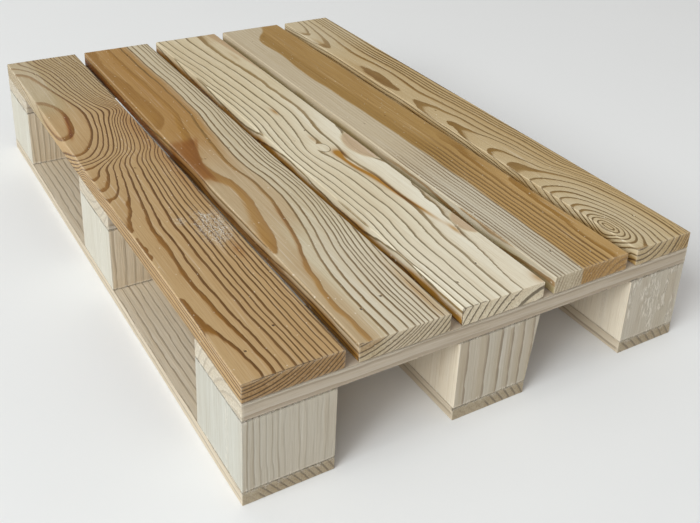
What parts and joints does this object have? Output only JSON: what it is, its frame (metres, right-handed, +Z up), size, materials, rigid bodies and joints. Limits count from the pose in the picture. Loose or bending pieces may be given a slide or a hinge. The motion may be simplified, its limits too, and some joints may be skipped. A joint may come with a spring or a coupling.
{
  "type": "wooden pallet",
  "caption": "Small four-way wooden block pallet: open slatted deck on cross stringers, square blocks and lengthwise bottom skids, nailed together.",
  "frame": {"origin": "on the floor under the middle of the pallet", "axes": "+X along the deck boards towards the front row of blocks, +Y across the deck boards towards the narrow board, +Z up"},
  "size_m": [0.6, 0.4, 0.1],
  "materials": {
    "deck_wood": "planed softwood with strong growth rings",
    "stringer_wood": "smooth planed softwood",
    "block_wood": "fine-sawn softwood with torn corners",
    "skid_wood": "sawn softwood",
    "brad_steel": "dull steel wire",
    "nail_steel": "dull steel wire"
  },
  "bodies": {
    "root": {"block_front_centre": "block_wood", "block_front_left": "block_wood", "block_front_right": "block_wood", "block_middle_centre": "block_wood", "block_middle_left": "block_wood", "block_middle_right": "block_wood", "block_rear_centre": "block_wood", "block_rear_left": "block_wood", "block_rear_right": "block_wood", "deck_board_1": "deck_wood", "deck_board_2": "deck_wood", "deck_board_3": "deck_wood", "deck_board_4": "deck_wood", "deck_board_5": "deck_wood", "deck_brads_1": "brad_steel", "deck_brads_2": "brad_steel", "deck_brads_3": "brad_steel", "deck_brads_4": "brad_steel", "deck_brads_5": "brad_steel", "skid_centre": "skid_wood", "skid_left": "skid_wood", "skid_nails_centre": "nail_steel", "skid_nails_left": "nail_steel", "skid_nails_right": "nail_steel", "skid_right": "skid_wood", "stringer_front": "stringer_wood", "stringer_middle": "stringer_wood", "stringer_rear": "stringer_wood"}
  },
  "joints": []
}
